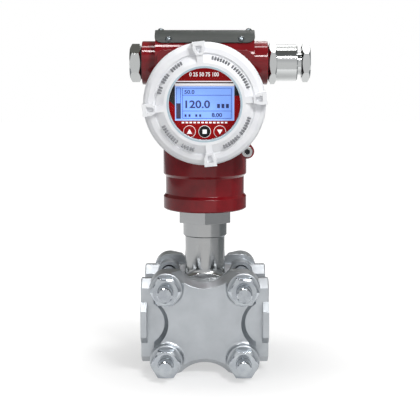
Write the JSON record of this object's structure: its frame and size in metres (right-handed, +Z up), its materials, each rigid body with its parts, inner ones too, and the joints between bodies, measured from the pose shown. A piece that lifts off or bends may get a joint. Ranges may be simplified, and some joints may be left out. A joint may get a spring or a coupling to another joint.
{
  "type": "differential pressure transmitter",
  "caption": "Differential pressure transmitter: red cast head with white round covers and a display, on a steel neck over a bolted flange pair.",
  "frame": {"origin": "middle of the footprint's bounding rectangle, on the surface that the flange ears stand on", "axes": "+Z up along the neck, -Y towards the display, +X towards the cable gland"},
  "size_m": [0.1436, 0.134, 0.2723],
  "materials": {
    "red_enamel": "gloss paint",
    "white_enamel": "satin paint",
    "cast_steel": "blasted stainless steel",
    "turned_steel": "fine turned stainless steel",
    "zinc_steel": "bright zinc plate",
    "nickel_brass": "nickel plate",
    "plate_steel": "dark brushed sheet",
    "black_rubber": "matt",
    "graphite_ring": "PTFE ring",
    "clear_glass": "clear",
    "red_plastic": "moulded",
    "lcd_glass": "backlit cell",
    "black_plastic": "moulded",
    "board": "solder mask",
    "grey_plastic": "moulded",
    "glass_seal": "fused glass in steel"
  },
  "bodies": {
    "sensor": {"process_flange_rear": "cast_steel", "process_flange_front": "cast_steel", "flange_bolts": "zinc_steel", "flange_nuts": "zinc_steel", "sensor_body": "turned_steel", "neck_collar": "turned_steel", "stem_seal": "black_rubber", "sensor_header": "glass_seal", "diaphragm_rear": "turned_steel", "diaphragm_front": "turned_steel", "gasket_rear": "graphite_ring", "gasket_front": "graphite_ring"},
    "vent_rear": {"vent_plug_rear": "turned_steel"},
    "vent_front": {"vent_plug_front": "turned_steel"},
    "lock_nut": {"swivel_lock_nut": "turned_steel"},
    "head": {"housing": "red_enamel", "cover_seal_front": "black_rubber", "cover_seal_rear": "black_rubber", "earth_screw": "turned_steel", "display_bezel": "red_plastic", "lcd_module": "lcd_glass", "display_board": "board", "display_standoffs": "turned_steel", "electronics_module": "grey_plastic", "terminal_block": "black_plastic", "terminal_screws": "nickel_brass", "feedthrough": "glass_seal", "nameplate": "plate_steel", "nameplate_screws": "turned_steel", "plug_seal": "black_rubber", "gland_seal": "black_rubber", "gland_body": "nickel_brass", "gland_bush": "black_rubber"},
    "cover_front": {"front_cover": "white_enamel", "window_glass": "clear_glass", "window_retainer": "turned_steel"},
    "cover_rear": {"rear_cover": "white_enamel"},
    "lock_front": {"lock_screw_front": "turned_steel"},
    "lock_rear": {"lock_screw_rear": "turned_steel"},
    "plug": {"blanking_plug": "nickel_brass"},
    "cap_nut": {"gland_cap_nut": "nickel_brass"},
    "key_a": {"key_left": "grey_plastic"},
    "key_b": {"key_middle": "black_plastic"},
    "key_c": {"key_right": "grey_plastic"}
  },
  "joints": [
    {"name": "head_swivel", "type": "hinge", "parent": "sensor", "child": "head", "pos_m": [-0.0121, 0.004, 0.15], "axis": [0, 0, 1], "range_deg": [-180, 180]},
    {"name": "lock_nut_turn", "type": "hinge", "parent": "sensor", "child": "lock_nut", "pos_m": [-0.0121, 0.004, 0.122], "axis": [0, 0, 1], "continuous": true},
    {"name": "vent_rear_turn", "type": "hinge", "parent": "sensor", "child": "vent_rear", "pos_m": [-0.0623, 0.031, 0.0409], "axis": [-1, 0, 0], "continuous": true},
    {"name": "vent_front_turn", "type": "hinge", "parent": "sensor", "child": "vent_front", "pos_m": [-0.0623, -0.023, 0.0409], "axis": [-1, 0, 0], "continuous": true},
    {"name": "front_cover_turn", "type": "hinge", "parent": "head", "child": "cover_front", "pos_m": [-0.0121, -0.046, 0.2145], "axis": [0, -1, 0], "continuous": true},
    {"name": "rear_cover_turn", "type": "hinge", "parent": "head", "child": "cover_rear", "pos_m": [-0.0121, 0.054, 0.2145], "axis": [0, 1, 0], "continuous": true},
    {"name": "front_lock_turn", "type": "hinge", "parent": "head", "child": "lock_front", "pos_m": [0.02077, -0.036, 0.17695], "axis": [0, -1, 0], "continuous": true},
    {"name": "rear_lock_turn", "type": "hinge", "parent": "head", "child": "lock_rear", "pos_m": [0.02077, 0.044, 0.17695], "axis": [0, 1, 0], "continuous": true},
    {"name": "plug_turn", "type": "hinge", "parent": "head", "child": "plug", "pos_m": [-0.0627, 0.004, 0.2446], "axis": [-1, 0, 0], "continuous": true},
    {"name": "cap_nut_turn", "type": "hinge", "parent": "head", "child": "cap_nut", "pos_m": [0.0647, 0.004, 0.2446], "axis": [1, 0, 0], "continuous": true},
    {"name": "key_left_press", "type": "slide", "parent": "head", "child": "key_a", "axis": [0, 1, 0], "range_m": [0, 0.0008], "stiffness_N_per_m": 400, "springref_m": -0.0008},
    {"name": "key_middle_press", "type": "slide", "parent": "head", "child": "key_b", "axis": [0, 1, 0], "range_m": [0, 0.0008], "stiffness_N_per_m": 400, "springref_m": -0.0008},
    {"name": "key_right_press", "type": "slide", "parent": "head", "child": "key_c", "axis": [0, 1, 0], "range_m": [0, 0.0008], "stiffness_N_per_m": 400, "springref_m": -0.0008}
  ]
}
